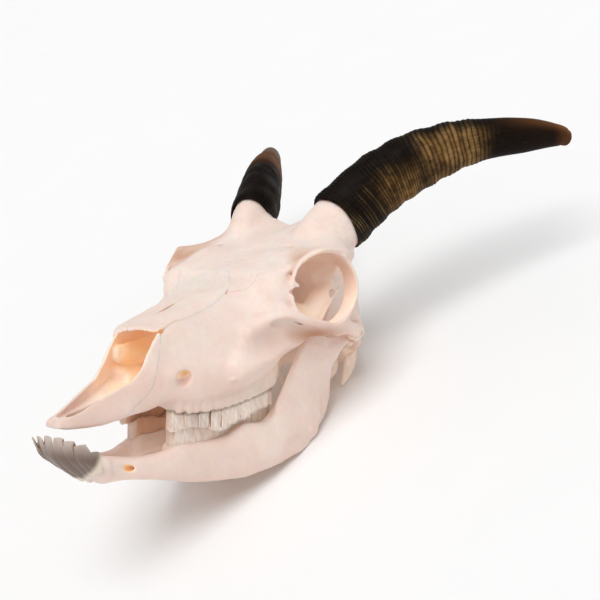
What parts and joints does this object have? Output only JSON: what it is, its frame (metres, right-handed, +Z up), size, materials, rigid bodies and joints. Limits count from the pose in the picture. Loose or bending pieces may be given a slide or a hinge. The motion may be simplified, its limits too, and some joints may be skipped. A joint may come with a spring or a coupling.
{
  "type": "goat skull",
  "caption": "Skull of a horned goat with its lower jaw and dark backswept horn sheaths, lying tipped back on the jaw angles and the neck joint.",
  "frame": {"origin": "middle of the footprint of the bounding box, on the plane the skull lies on", "axes": "+Z up as the skull lies, -Y towards the muzzle, +X to the animal's left; the head is tipped back 35.5 degrees about X"},
  "size_m": [0.2277, 0.3337, 0.1142],
  "materials": {
    "bone": "dry bleached bone, matt to faintly satin",
    "horn": "dark ringed keratin, satin"
  },
  "bodies": {
    "root": {"cranium": "bone", "premaxilla_left": "bone", "premaxilla_right": "bone", "nasal_left": "bone", "nasal_right": "bone", "mandible_left": "bone", "mandible_right": "bone", "horn_left": "horn", "horn_right": "horn"}
  },
  "joints": []
}
